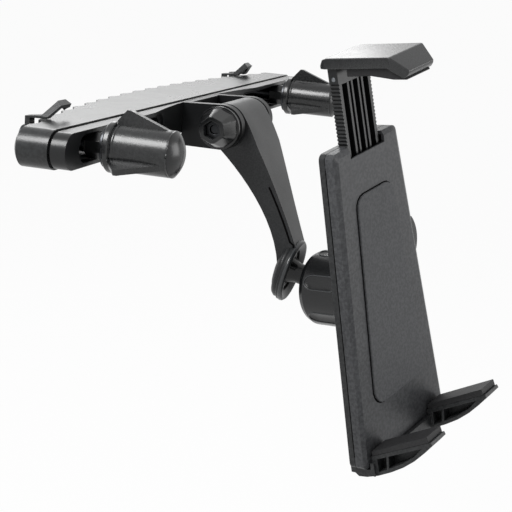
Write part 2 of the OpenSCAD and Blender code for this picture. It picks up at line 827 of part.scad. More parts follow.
module slider_rack() {
  n = floor((rack_top - rack_plain - rack_low) / tooth_pitch);
  color("#2a2b2d")
  holder_place()
    difference() {
      block([-rack_hw, rack_mid_y - rack_t / 2, rack_low], [rack_hw, rack_back_y, rack_top]);
      // Long grooves with four ribs between them
      for (g = [[-9.6, -5.9], [-4.5, -2.9], [-1.7, 1.7], [2.9, 4.5], [5.9, 9.6]])
        block([g[0], rack_mid_y - rack_t / 2 - 1, rack_low - 1],
              [g[1], rack_back_y - 1.4, rack_top - rack_plain]);
      for (s = [-1, 1], i = [0 : n - 1])
        translate([s * rack_hw, rack_mid_y, rack_low + 1.6 + i * tooth_pitch]) rotate([0, 45, 0])
          cube([tooth_d, 2 * rack_t, tooth_d], center = true);
      translate([0, rack_mid_y, rack_top - 4.6]) along_x(0.95, -60, 60);
    }
}

module top_jaw() {
  color("#3a3c3f")
  holder_place()
    intersection() {
      rotate([90, 0, 90]) linear_extrude(height = jaw_w, center = true)
        polygon([[back_y + 1.4, jaw_z], [back_y + 1.4, jaw_z + 1.6], [back_y - 0.2, jaw_z + jaw_t + 0.4],
                 [back_y - 2.6, jaw_z + jaw_t + 1], [fold_y, jaw_z + jaw_t + 1], [tip_y, jaw_z - 1.6],
                 [tip_y + 0.5, jaw_z - 3], [tip_y + 2.3, jaw_z - 4.7], [fold_y + 1.4, jaw_z]]);
      translate([0, 0, jaw_z - 20]) linear_extrude(height = 60)
        polygon([[-jaw_w / 2 + 1, back_y + 2], [jaw_w / 2 - 1, back_y + 2], [jaw_w / 2, back_y - 1],
                 [jaw_w / 2, fold_y], [jaw_tip_w / 2, tip_y], [-jaw_tip_w / 2, tip_y],
                 [-jaw_w / 2, fold_y], [-jaw_w / 2, back_y - 1]]);
    }
}

module top_jaw_liner() {
  color("#191919")
  holder_place()
    intersection() {
      rotate([90, 0, 90]) linear_extrude(height = jaw_w - 3, center = true)
        polygon([[face_y - 2.6, jaw_z], [face_y - 2.6, jaw_z - liner_t], [face_y - 14, jaw_z - liner_t + 0.2],
                 [tip_y + 1.8, jaw_z - liner_t - 2], [tip_y + 2.3, jaw_z - 4.7], [fold_y + 1.4, jaw_z]]);
      translate([0, 0, jaw_z - 20]) linear_extrude(height = 60)
        polygon([[-jaw_w / 2, 0], [jaw_w / 2, 0], [jaw_w / 2 - 1.5, fold_y], [jaw_tip_w / 2 - 1.5, tip_y],
                 [-jaw_tip_w / 2 + 1.5, tip_y], [-jaw_w / 2 + 1.5, fold_y]]);
    }
}

module jaw_pin() {
  color("#8d9093")
  holder_place()
    translate([0, rack_mid_y, rack_top - 4.6]) along_x(0.9, -rack_hw, rack_hw);
}

// Side outline of the bottom jaw's feet in the holder's Y-Z plane
module foot_outline() {
  z0 = -body_down;
  polygon([[back_y + 2.4, z0 + 3], [back_y + 0.3, z0 + 3.4], [back_y + 0.3, z0 - 0.3], [face_y - 0.3, z0 - 0.3],
           [face_y - 0.3, foot_top(face_y - 0.3)], [foot_tip_y, foot_top(foot_tip_y)],
           [foot_tip_y - 0.6, foot_top(foot_tip_y) - 1.4], [foot_tip_y + 3.6, z0 + foot_rise - 5.6],
           [back_y - 31, z0 + 7.6], [back_y - 25, z0 + 3.4], [back_y - 18, z0 - 0.4], [back_y - 11, z0 - 3.5],
           [back_y - 5, z0 - 5.3], [back_y - 0.6, z0 - 5.8], [back_y + 1.8, z0 - 3.8]]);
}

// Height of a foot's upper face at a distance along the face's normal
function foot_top(y) = foot_root - body_down + (foot_rise - foot_root) * (face_y - y) / (face_y - foot_tip_y);

// Outline of the pockets in a foot's sides
module foot_pocket() {
  z0 = -body_down;
  difference() {
    polygon([[face_y - 3.4, foot_top(face_y - 3.4) - 2], [foot_tip_y + 5, foot_top(foot_tip_y + 5) - 1.9],
             [back_y - 31, z0 + 9.6], [back_y - 25, z0 + 5.4], [back_y - 18, z0 + 1.6],
             [face_y - 3.4, z0 - 1.6]]);
    // Curved rib
    polygon([[face_y - 8.6, z0 - 4], [face_y - 7.4, z0 - 4], [face_y - 8, z0 + 2], [face_y - 8.6, z0 + 9],
             [face_y - 9.8, z0 + 9], [face_y - 9.2, z0 + 2]]);
  }
}

module bottom_jaw() {
  hw = half_w(-body_down);
  z0 = -body_down;
  color("#3a3c3f")
  holder_place() {
    for (s = [-1, 1])
      translate([s * foot_x, 0, 0]) rotate([90, 0, 90])
        difference() {
          linear_extrude(height = foot_w, center = true) foot_outline();
          for (k = [-1, 1]) translate([0, 0, k * (foot_web + foot_w) / 2])
            linear_extrude(height = foot_w, center = true) foot_pocket();
        }
    block([-hw + 3, face_y - 0.3 - eps, z0 - 3.3], [hw - 3, back_y + 0.3 + eps, z0 - 0.3]);
    block([-hw + 3, face_y - 2.3, z0 - 3.3], [hw - 3, face_y - 0.3, z0 + 3]);
    block([-hw + 3, back_y + 0.3, z0 - 3.3], [hw - 3, back_y + 2, z0 + 3]);
  }
}

module jaw_screws() {
  color("#8d9093")
  holder_place()
    for (s = [-1, 1]) translate([s * 10, (back_y + face_y) / 2, -body_down - 4.3])
      cylinder(r = 2.2, h = 1, $fn = 32);
}

module foot_pad(s) {
  color("#191919")
  holder_place()
    translate([s * foot_x, 0, 0]) rotate([90, 0, 90])
      linear_extrude(height = foot_w, center = true)
        polygon([[face_y - 1.2, foot_top(face_y - 1.2)], [face_y - 0.8, foot_top(face_y) + liner_t - 0.6],
                 [foot_tip_y + 1.6, foot_top(foot_tip_y) + liner_t - 1],
                 [foot_tip_y + 1, foot_top(foot_tip_y + 1)]]);
}

module release_button() {
  r = 14;
  color("#26272a")
  holder_place()
    intersection() {
      translate([half_w(button_z) + button_out - r, button_y, button_z]) rotate([90, 0, 0])
        cylinder(r = r, h = 3.2, center = true, $fn = 96);
      block([half_w(button_z) - 4.5, -60, button_z - button_l / 2], [60, 60, button_z + button_l / 2]);
    }
}

module pawl() {
  color("#3c3e41")
  holder_place()
    translate([0, lever_y, 0])
      difference() {
        rotate([90, 0, 0])
          linear_extrude(height = 3.2, center = true)
            polygon([[lever_x + 3.6, button_z - 3], [lever_x + 5.4, button_z - 3], [push_x, button_z - 2],
                     [push_x, button_z + 2], [lever_x + 5.8, lever_pin_z - 3],
                     [lever_x + 5.8, lever_pin_z + 2], [lever_x + 5, lever_pin_z + 10],
                     [lever_x, lever_pin_z + 10.6], [lever_x, lever_pin_z + 9.4],
                     [lever_x + 2.4, lever_pin_z + 7.6]]);
        translate([lever_x + 4, 0, lever_pin_z]) along_y(1 + run_gap, -10, 10);
      }
}

module pawl_pin() {
  color("#9a9da0")
  holder_place()
    translate([lever_x + 4, 0, lever_pin_z]) along_y(1, face_y + shell_wall, back_y - shell_wall);
}

module release_spring() {
  color("#b0b3b6")
  holder_place()
    translate([0, button_y, button_z - 7])
      along_x(1.3, lever_x + 5.8 + button_travel, half_w(button_z) - 4.5);
}

rear_channel();
front_plate();
bar_screws();
guide_block(left_x);  // left_guide_block
claw(left_x, 1);  // left_claw
claw_pad(left_x, 1);  // left_claw_pad
clamp_bolt(left_x);  // left_clamp_bolt
clamp_washer(left_x);  // left_washer
knob(left_x);  // left_knob
knob_nut(left_x);  // left_knob_nut
knob_cap(left_x);  // left_knob_cap
guide_block(right_x);  // right_guide_block
claw(right_x, -1);  // right_claw
claw_pad(right_x, -1);  // right_claw_pad
clamp_bolt(right_x);  // right_clamp_bolt
clamp_washer(right_x);  // right_washer
knob(right_x);  // right_knob
knob_nut(right_x);  // right_knob_nut
knob_cap(right_x);  // right_knob_cap
pivot_bracket();
bracket_screws();
pivot_bolt();
friction_washers();
pivot_cap();
pivot_nut();
arm();
ball_stud();
stud_screw();
ball_liner();
ball_collet();
socket();
lock_ring();
back_shell();
front_shell();
shell_screws();
face_pad();
slider_rack();
top_jaw();
top_jaw_liner();
jaw_pin();
bottom_jaw();
jaw_screws();
foot_pad(-1);  // left_foot_pad
foot_pad(1);  // right_foot_pad
release_button();
pawl();
release_spring();
pawl_pin();
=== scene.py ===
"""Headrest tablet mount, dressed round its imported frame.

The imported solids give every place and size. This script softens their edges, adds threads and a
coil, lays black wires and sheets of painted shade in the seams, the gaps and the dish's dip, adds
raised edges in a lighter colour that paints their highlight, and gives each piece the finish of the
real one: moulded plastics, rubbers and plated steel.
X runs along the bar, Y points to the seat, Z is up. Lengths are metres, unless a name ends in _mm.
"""
import json
import logging
import math
from dataclasses import dataclass, field
from enum import Enum
from typing import Sequence

import bmesh
import bpy
from mathutils import Matrix, Vector
from mathutils.bvhtree import BVHTree

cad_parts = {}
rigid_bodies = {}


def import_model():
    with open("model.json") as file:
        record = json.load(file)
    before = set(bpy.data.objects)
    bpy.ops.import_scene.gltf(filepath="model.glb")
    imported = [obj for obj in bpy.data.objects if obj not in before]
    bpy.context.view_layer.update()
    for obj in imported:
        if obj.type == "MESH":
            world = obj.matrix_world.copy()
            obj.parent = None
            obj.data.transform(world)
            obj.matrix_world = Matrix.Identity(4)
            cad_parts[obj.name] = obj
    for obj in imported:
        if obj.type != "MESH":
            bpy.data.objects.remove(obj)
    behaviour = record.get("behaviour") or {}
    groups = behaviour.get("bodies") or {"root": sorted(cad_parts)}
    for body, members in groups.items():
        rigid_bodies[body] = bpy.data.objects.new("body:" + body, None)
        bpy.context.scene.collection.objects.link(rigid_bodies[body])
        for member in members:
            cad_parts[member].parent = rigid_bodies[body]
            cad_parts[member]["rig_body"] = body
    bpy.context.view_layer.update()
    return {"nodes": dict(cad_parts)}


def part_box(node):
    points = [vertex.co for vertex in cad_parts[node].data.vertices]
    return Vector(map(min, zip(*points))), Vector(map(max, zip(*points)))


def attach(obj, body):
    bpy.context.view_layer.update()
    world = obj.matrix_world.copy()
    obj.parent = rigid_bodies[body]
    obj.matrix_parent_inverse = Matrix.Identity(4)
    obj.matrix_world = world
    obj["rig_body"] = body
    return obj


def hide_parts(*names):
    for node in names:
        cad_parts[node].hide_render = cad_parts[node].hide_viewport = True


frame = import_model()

LOG = logging.getLogger("tablet_mount")
MM = 0.001
# Points nearer to each other than this are one
MERGE = 2e-6
# Faces that turn less than this are one flat face
FLAT_DEG = 0.4
# Rays start this far out, past every piece
FAR = 0.1


# ---------------------------------------------------------------- colour and nodes

def linear(code: str) -> tuple[float, float, float, float]:
    """Turns an sRGB hex colour into linear values.

    Args:
        code: colour as "#rrggbb".

    Returns:
        Red, green, blue and an alpha of 1.
    """
    parts = [int(code[i:i + 2], 16) / 255 for i in (1, 3, 5)]
    rgb = [c / 12.92 if c <= 0.04045 else ((c + 0.055) / 1.055) ** 2.4 for c in parts]
    return (rgb[0], rgb[1], rgb[2], 1.0)


def add(tree: bpy.types.NodeTree, kind: str, settings: dict | None = None,
        links: dict | None = None) -> bpy.types.Node:
    """Adds one node to a tree.

    Args:
        tree: the tree that gets the node.
        kind: the node's Blender type name.
        settings: input keys with their values. Keys that start with "." name attributes instead.
        links: input keys with the output socket that feeds each.

    Returns:
        The new node.
    """
    node = tree.nodes.new(kind)
    for key, value in (settings or {}).items():
        if isinstance(key, str) and key.startswith("."):
            setattr(node, key[1:], value)
        else:
            node.inputs[key].default_value = value
    for key, socket in (links or {}).items():
        tree.links.new(socket, node.inputs[key])
    return node


# ---------------------------------------------------------------- finishes

@dataclass(frozen=True)
class Finish:
    """What a surface is made of and how it was made.

    Args:
        name: the finish in a maker's words.
        slot: the record's material slot. Not used.
        colour: main colour, sRGB.
        tone: the colour it drifts to in patches, sRGB.
        roughness: mean roughness.
        spread: how far the roughness drifts each way.
        grain_mm: width of one grain of the surface.
        grain_depth_mm: height of the grain. The grain is drawn coarser than real, so that it shows.
        specular: specular level, 0.5 for an index of 1.5.
        metal: 1 for bare metal.
        brushed: lengthwise scratches in place of grain.
        patch_mm: width of the patches in which colour and roughness drift.
    """

    name: str
    slot: str
    colour: str
    tone: str
    roughness: float = 0.5
    spread: float = 0.06
    grain_mm: float = 0.35
    grain_depth_mm: float = 0.02
    specular: float = 0.5
    metal: float = 0.0
    brushed: bool = False
    patch_mm: float = 13.16

    @staticmethod
    def scale(lump_mm: float) -> float:
        """A noise texture's scale for lumps of this width: one period holds two."""
        return 1 / (2 * lump_mm * MM)

    def build(self) -> bpy.types.Material:
        """Builds the node tree.

        Returns:
            The finished material.
        """
        mat = bpy.data.materials.new(self.name)
        mat.use_nodes = True
        tree = mat.node_tree
        tree.nodes.clear()
        place = add(tree, "ShaderNodeTexCoord").outputs["Object"]
        if self.brushed:
            # Scratches run along the piece, so the pattern is drawn out along X
            stretch = add(tree, "ShaderNodeMapping", {"Scale": (0.06, 1.0, 1.0)}, {"Vector": place})
            place = stretch.outputs["Vector"]
        grain = add(tree, "ShaderNodeTexNoise",
                    {"Scale": self.scale(self.grain_mm), "Detail": 2.0, "Roughness": 0.55},
                    {"Vector": place})
        cloud = add(tree, "ShaderNodeTexNoise",
                    {"Scale": self.scale(self.patch_mm), "Detail": 4.0, "Roughness": 0.6},
                    {"Vector": place})
        patch = add(tree, "ShaderNodeMapRange",
                    {"From Min": 0.35, "From Max": 0.7, "To Min": 0.0, "To Max": 0.4},
                    {"Value": cloud.outputs["Fac"]})
        speck = add(tree, "ShaderNodeMapRange",
                    {"From Min": 0.4, "From Max": 0.62, "To Min": 0.0, "To Max": 0.7},
                    {"Value": grain.outputs["Fac"]})
        fac = add(tree, "ShaderNodeMath", {".operation": "ADD", ".use_clamp": True},
                  {0: patch.outputs["Result"], 1: speck.outputs["Result"]})
        # Inputs 6 and 7 are the colour sockets of a Mix node
        mix = add(tree, "ShaderNodeMix",
                  {".data_type": "RGBA", 6: linear(self.colour), 7: linear(self.tone)},
                  {0: fac.outputs["Value"]})
        gloss = add(tree, "ShaderNodeMapRange",
                    {"From Min": 0.25, "From Max": 0.75, "To Min": self.roughness - self.spread,
                     "To Max": self.roughness + self.spread},
                    {"Value": cloud.outputs["Fac"]})
        bump = add(tree, "ShaderNodeBump",
                   {"Strength": 1.0, "Distance": self.grain_depth_mm * MM},
                   {"Height": grain.outputs["Fac"]})
        shader = add(tree, "ShaderNodeBsdfPrincipled",
                     {"Metallic": self.metal, "Specular IOR Level": self.specular},
                     {"Base Color": mix.outputs[2], "Roughness": gloss.outputs["Result"],
                      "Normal": bump.outputs["Normal"]})
        add(tree, "ShaderNodeOutputMaterial", None, {"Surface": shader.outputs["BSDF"]})
        return mat


class Kind(Enum):
    """The finishes on the mount."""

    # Glass-filled nylon from a spark-eroded mould: black, with a fine grain that sparkles
    CHANNEL = Finish("moulded nylon, channel", "channel_plastic", "#151617", "#282a2b", 0.29,
                     spread=0.05, grain_mm=0.55, grain_depth_mm=0.035, specular=0.42)
    # The same nylon from a smoother mould wall: an even, darker sheen
    PLATE = Finish("moulded nylon, front plate", "plate_plastic", "#131415", "#191a1b", 0.3,
                   spread=0.04, specular=0.36)
    # Round mould walls: the knobs shine in a soft, grainy band
    KNOB = Finish("moulded nylon, knob", "knob_plastic", "#0f1011", "#232425", 0.25,
                  spread=0.04, grain_mm=0.5, grain_depth_mm=0.03, specular=0.48)
    # Polished mould: small bright spots on black
    CAP = Finish("polished nylon, end cap", "knob_plastic", "#0d0e0f", "#151617", 0.22,
                 grain_depth_mm=0.012, specular=0.46)
    # A dull black that hardly mirrors anything
    BRACKET = Finish("moulded nylon, bracket", "bracket_plastic", "#0d0e0f", "#131415", 0.4,
                     specular=0.2)
    # Satin: the arm shades softly from front to flank
    ARM = Finish("moulded nylon, arm", "arm_plastic", "#1e1f20", "#2d2e2f", 0.38, specular=0.25)
    # Turned and polished acetal: smooth, with a small highlight
    BALL = Finish("polished acetal, ball", "ball_plastic", "#121314", "#18191a", 0.26,
                  grain_depth_mm=0.004, specular=0.35)
    # A glossy ring, nearly black between its highlights
    RING = Finish("moulded nylon, lock ring", "ring_plastic", "#0f1011", "#191a1b", 0.24,
                  spread=0.04, grain_depth_mm=0.015, specular=0.42)
    # Painted highlight: raised edges round the flutes and the dish in a lighter nylon, which stands
    # in for the light they catch
    EDGE = Finish("moulded nylon, edges", "ring_plastic", "#2c2e30", "#343638", 0.26,
                  grain_depth_mm=0.01, specular=0.5)
    # ABS shells with a coarser grain than the nylon: a satin grey
    SHELL = Finish("textured ABS, shells", "shell_plastic", "#333436", "#4b4c4e", 0.42,
                   grain_mm=0.7, grain_depth_mm=0.06, specular=0.25)
    # The jaw comes from a smoother mould, so its edges and facets glint. Its colour is painted darker
    # than the shells' ABS, to stand in for the shade on its side
    SHADED_JAW = Finish("moulded ABS, jaw", "shell_plastic", "#1d1e1f", "#28292a", 0.27, grain_mm=0.5,
                 grain_depth_mm=0.02, specular=0.5)
    # The back has the shells' grain in a darker ABS
    BACK = Finish("textured ABS, back shell", "shell_plastic", "#202122", "#343536", 0.4,
                  grain_mm=0.7, grain_depth_mm=0.05, specular=0.25)
    # A polished button that mirrors a little
    BUTTON = Finish("glossy ABS, button", "button_plastic", "#1c1d1f", "#222325", 0.22,
                    grain_depth_mm=0.003)
    # Silicone with a moulded texture: duller and a little lighter than the shell
    PAD = Finish("textured silicone, face pad", "pad_rubber", "#3d3e40", "#525355", 0.6,
                 grain_mm=0.6, grain_depth_mm=0.05, specular=0.28)
    # Painted shade in seams, gaps and the dish's dip: nothing but black
    SEAM = Finish("shade in a seam", "liner_rubber", "#040404", "#060606", 0.8, specular=0.05)
    # Matt black rubber
    LINER = Finish("moulded rubber, liners", "liner_rubber", "#161617", "#1f1f21", 0.64,
                   grain_mm=0.5, grain_depth_mm=0.04, specular=0.4)
    # Black passivated zinc: a dark mirror that shows as glints only
    ZINC = Finish("black passivated steel, screws", "zinc_steel", "#333436", "#3d3e40", 0.3,
                  grain_depth_mm=0.004, metal=1.0)
    # Ground steel: bright, with fine lengthwise scratches
    STEEL = Finish("ground steel, pins", "steel_pin", "#8f9295", "#7c8084", 0.32,
                   grain_mm=0.2, grain_depth_mm=0.005, metal=1.0, brushed=True)


MATERIALS: dict[Kind, bpy.types.Material] = {}


def material(kind: Kind) -> bpy.types.Material:
    """Gives the one material of a finish, and builds it when it is first asked for.

    Args:
        kind: the finish.

    Returns:
        Its material.
    """
    if kind not in MATERIALS:
        MATERIALS[kind] = kind.value.build()
    return MATERIALS[kind]


# ---------------------------------------------------------------- pieces

def finish_piece(obj: bpy.types.Object, kind: Kind, body: str,
                 replaces: Sequence[str] = ()) -> bpy.types.Object:
    """Gives a piece its finish and its body.

    Args:
        obj: the piece, with its place in its mesh.
        kind: its finish.
        body: the body it moves with.
        replaces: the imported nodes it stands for.

    Returns:
        The piece.
    """
    obj.data.materials.clear()
    obj.data.materials.append(material(kind))
    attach(obj, body)
    if replaces:
        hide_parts(*replaces)
    LOG.info("%s: %s, %d faces, on %s", obj.name, kind.value.name, len(obj.data.polygons), body)
    return obj


def new_piece(name: str, bm: bmesh.types.BMesh, smooth_deg: float = 35.0) -> bpy.types.Object:
    """Makes an object of a bmesh, smooth but for its sharp edges.

    Args:
        name: the object's name.
        bm: the shape in the row frame. It is freed.
        smooth_deg: edges that turn more than this stay sharp.

    Returns:
        The object, linked to the scene.
    """
    limit = math.radians(smooth_deg)
    for face in bm.faces:
        face.smooth = True
    for edge in bm.edges:
        edge.smooth = len(edge.link_faces) == 2 and edge.calc_face_angle(0.0) < limit
    mesh = bpy.data.meshes.new(name)
    bm.to_mesh(mesh)
    bm.free()
    obj = bpy.data.objects.new(name, mesh)
    bpy.context.scene.collection.objects.link(obj)
    return obj


def plain(obj: bpy.types.Object) -> bpy.types.Object:
    """Turns an object's modifiers into a plain mesh.

    Args:
        obj: an object with modifiers.

    Returns:
        The same object, with the result as its mesh.
    """
    graph = bpy.context.evaluated_depsgraph_get()
    graph.update()
    made = bpy.data.meshes.new_from_object(obj.evaluated_get(graph))
    obj.modifiers.clear()
    obj.data = made
    made.name = obj.name
    return obj


@dataclass(frozen=True)
class Groove:
    """A shallow ring turned into a round piece whose axis lies along Y.

    Args:
        centre: a point on the axis, at the groove's place along it.
        reach: what lies further from the axis than this stays as it is, such as a fin.
        core: what lies nearer to it than this share of reach stays too, such as a bore.
        width: the groove's width.
        depth: the groove's depth.
    """

    centre: Vector
    reach: float
    core: float = 0.6
    width: float = 0.5 * MM
    depth: float = 0.3 * MM

    def cut(self, bm: bmesh.types.BMesh) -> None:
        """Cuts the ring: three loops, of which the middle one moves towards the axis.

        Args:
            bm: the round piece, in the row frame.
        """
        for step in (-0.5, 0.5, 0.0):
            point = self.centre + Vector((0, step * self.width, 0))
            bmesh.ops.bisect_plane(bm, geom=bm.verts[:] + bm.edges[:] + bm.faces[:],
                                   plane_co=point, plane_no=(0, 1, 0), dist=MERGE / 20)
        for vert in bm.verts:
            off = vert.co - self.centre
            away = Vector((off.x, 0, off.z))
            if abs(off.y) < MERGE and self.core * self.reach < away.length < self.reach:
                vert.co -= away.normalized() * self.depth


@dataclass
class Softened:
    """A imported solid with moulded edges.

    Args:
        node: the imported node.
        kind: its finish.
        radius_mm: the edges' radius.
        angle_deg: edges that turn more than this are rounded.
        segments: faces across a rounded edge.
        grooves: rings turned into it.
    """

    node: str
    kind: Kind
    radius_mm: float = 0.35
    angle_deg: float = 32.0
    segments: int = 2
    grooves: Sequence[Groove] = ()

    def build(self) -> bpy.types.Object:
        """Builds the softened copy, which stands for the node.

        Returns:
            The copy.
        """
        source = frame["nodes"][self.node]
        bm = bmesh.new()
        bm.from_mesh(source.data)
        bmesh.ops.remove_doubles(bm, verts=bm.verts, dist=MERGE)
        bmesh.ops.dissolve_limit(bm, angle_limit=math.radians(FLAT_DEG), verts=bm.verts,
                                 edges=bm.edges, delimit={"NORMAL"})
        obj = new_piece(self.node + ".soft", bm, 180.0)
        bevel = obj.modifiers.new("edge", "BEVEL")
        bevel.width = self.radius_mm * MM
        bevel.segments = self.segments
        bevel.limit_method = "ANGLE"
        bevel.angle_limit = math.radians(self.angle_deg)
        bevel.use_clamp_overlap = True
        plain(obj)
        if self.grooves:
            cut = bmesh.new()
            cut.from_mesh(obj.data)
            for groove in self.grooves:
                groove.cut(cut)
            cut.to_mesh(obj.data)
            cut.free()
        weighted = obj.modifiers.new("normals", "WEIGHTED_NORMAL")
        weighted.keep_sharp = True
        plain(obj)
        return finish_piece(obj, self.kind, source["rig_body"], [self.node])


# ---------------------------------------------------------------- threads and coils

class Helix:
    """Geometry Nodes that wind a wire round an axis: a thread's crest or a spring's coil."""

    def __init__(self) -> None:
        """Builds the tree with its named inputs."""
        tree = bpy.data.node_groups.new("wound wire", "GeometryNodeTree")
        inputs = (("Radius", "NodeSocketFloat", 3 * MM), ("Pitch", "NodeSocketFloat", MM),
                  ("Length", "NodeSocketFloat", 10 * MM), ("Wire", "NodeSocketFloat", 0.3 * MM),
                  ("Sides", "NodeSocketInt", 6), ("Steps", "NodeSocketInt", 20),
                  ("Material", "NodeSocketMaterial", None))
        for name, kind, value in inputs:
            socket = tree.interface.new_socket(name, in_out="INPUT", socket_type=kind)
            if value is not None:
                socket.default_value = value
        tree.interface.new_socket("Geometry", in_out="OUTPUT", socket_type="NodeSocketGeometry")
        entry = add(tree, "NodeGroupInput").outputs
        turns = add(tree, "ShaderNodeMath", {".operation": "DIVIDE"},
                    {0: entry["Length"], 1: entry["Pitch"]})
        line = add(tree, "GeometryNodeCurveSpiral", None,
                   {"Resolution": entry["Steps"], "Rotations": turns.outputs[0],
                    "Start Radius": entry["Radius"], "End Radius": entry["Radius"],
                    "Height": entry["Length"]})
        wire = add(tree, "GeometryNodeCurvePrimitiveCircle", None,
                   {"Resolution": entry["Sides"], "Radius": entry["Wire"]})
        swept = add(tree, "GeometryNodeCurveToMesh", {"Fill Caps": True},
                    {"Curve": line.outputs[0], "Profile Curve": wire.outputs[0]})
        real = add(tree, "GeometryNodeRealizeInstances", None, {"Geometry": swept.outputs[0]})
        coated = add(tree, "GeometryNodeSetMaterial", None,
                     {"Geometry": real.outputs[0], "Material": entry["Material"]})
        add(tree, "NodeGroupOutput", None, {"Geometry": coated.outputs[0]})
        self.tree = tree

    def wind(self, name: str, place: Matrix, sizes: dict[str, float], kind: Kind) -> bpy.types.Object:
        """Winds one wire.

        Args:
            name: the object's name.
            place: moves the wire, which stands on z = 0, to its place in the row frame.
            sizes: the tree's inputs by name, in metres.
            kind: the finish.

        Returns:
            The wire as a plain mesh.
        """
        obj = bpy.data.objects.new(name, bpy.data.meshes.new(name))
        bpy.context.scene.collection.objects.link(obj)
        mod = obj.modifiers.new("wire", "NODES")
        mod.node_group = self.tree
        ids = {item.name: item.identifier for item in self.tree.interface.items_tree
               if item.item_type == "SOCKET" and item.in_out == "INPUT"}
        for key, value in sizes.items():
            mod[ids[key]] = value
        mod[ids["Material"]] = material(kind)
        plain(obj)
        obj.data.transform(place)
        for face in obj.data.polygons:
            face.use_smooth = True
        return obj


# ---------------------------------------------------------------- lines on surfaces

class Surface:
    """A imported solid's skin, asked for points by straight rays."""

    def __init__(self, node: str) -> None:
        """Reads the node's faces.

        Args:
            node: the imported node.
        """
        mesh = frame["nodes"][node].data
        self.tree = BVHTree.FromPolygons([v.co for v in mesh.vertices],
                                         [f.vertices for f in mesh.polygons])

    def hit(self, start: Vector, way: Vector) -> Vector | None:
        """The first point that a ray meets, or None."""
        return self.tree.ray_cast(start, way)[0]


def tube(name: str, points: Sequence[Vector], radius_mm: float,
         closed: bool = False) -> bpy.types.Object:
    """Sweeps a round wire along points.

    Args:
        name: the object's name.
        points: the wire's middle line, in metres.
        radius_mm: the wire's radius.
        closed: joins the last point to the first.

    Returns:
        The wire as a plain mesh.
    """
    curve = bpy.data.curves.new(name, "CURVE")
    curve.dimensions = "3D"
    curve.bevel_depth = radius_mm * MM
    curve.bevel_resolution = 2
    curve.use_fill_caps = True
    line = curve.splines.new("POLY")
    line.points.add(len(points) - 1)
    for place, point in zip(line.points, points):
        place.co = (*point, 1.0)
    line.use_cyclic_u = closed
    maker = bpy.data.objects.new(name + ".line", curve)
    bpy.context.scene.collection.objects.link(maker)
    graph = bpy.context.evaluated_depsgraph_get()
    graph.update()
    mesh = bpy.data.meshes.new_from_object(maker.evaluated_get(graph))
    bpy.data.objects.remove(maker)
    bpy.data.curves.remove(curve)
    mesh.name = name
    for face in mesh.polygons:
        face.use_smooth = True
    obj = bpy.data.objects.new(name, mesh)
    bpy.context.scene.collection.objects.link(obj)
    return obj


# ---------------------------------------------------------------- the holder's frame

@dataclass(frozen=True)
class HolderFrame:
    """The holder's own frame, from the ball's centre: x its width, -y its face's normal, z up it."""

    ball_mm: tuple[float, float, float] = (0.0, -72.983, -71.791)
    yaw_deg: float = -20.6
    pitch_deg: float = -7.1
    roll_deg: float = -12.5

    def matrix(self) -> Matrix:
        """Works out where the holder stands.

        Returns:
            The matrix from the holder's frame to the row frame, both in metres.
        """
        turn = (Matrix.Rotation(math.radians(self.yaw_deg), 4, "Z")
                @ Matrix.Rotation(math.radians(self.pitch_deg), 4, "X")
                @ Matrix.Rotation(math.radians(self.roll_deg), 4, "Y"))
        return Matrix.Translation(Vector(self.ball_mm) * MM) @ turn


# ---------------------------------------------------------------- sub-assemblies

@dataclass
class Bar:
    """The slotted bar across the headrest posts."""

    edge_mm: float = 0.9
    rim_mm: float = 0.5

    def build(self) -> None:
        """Dresses the channel, the front plate and their screws."""
        Softened("rear_channel", Kind.CHANNEL, radius_mm=self.edge_mm, segments=3).build()
        Softened("front_plate", Kind.PLATE, radius_mm=self.rim_mm, segments=3).build()
        Softened("bar_screws", Kind.ZINC, radius_mm=0.15).build()


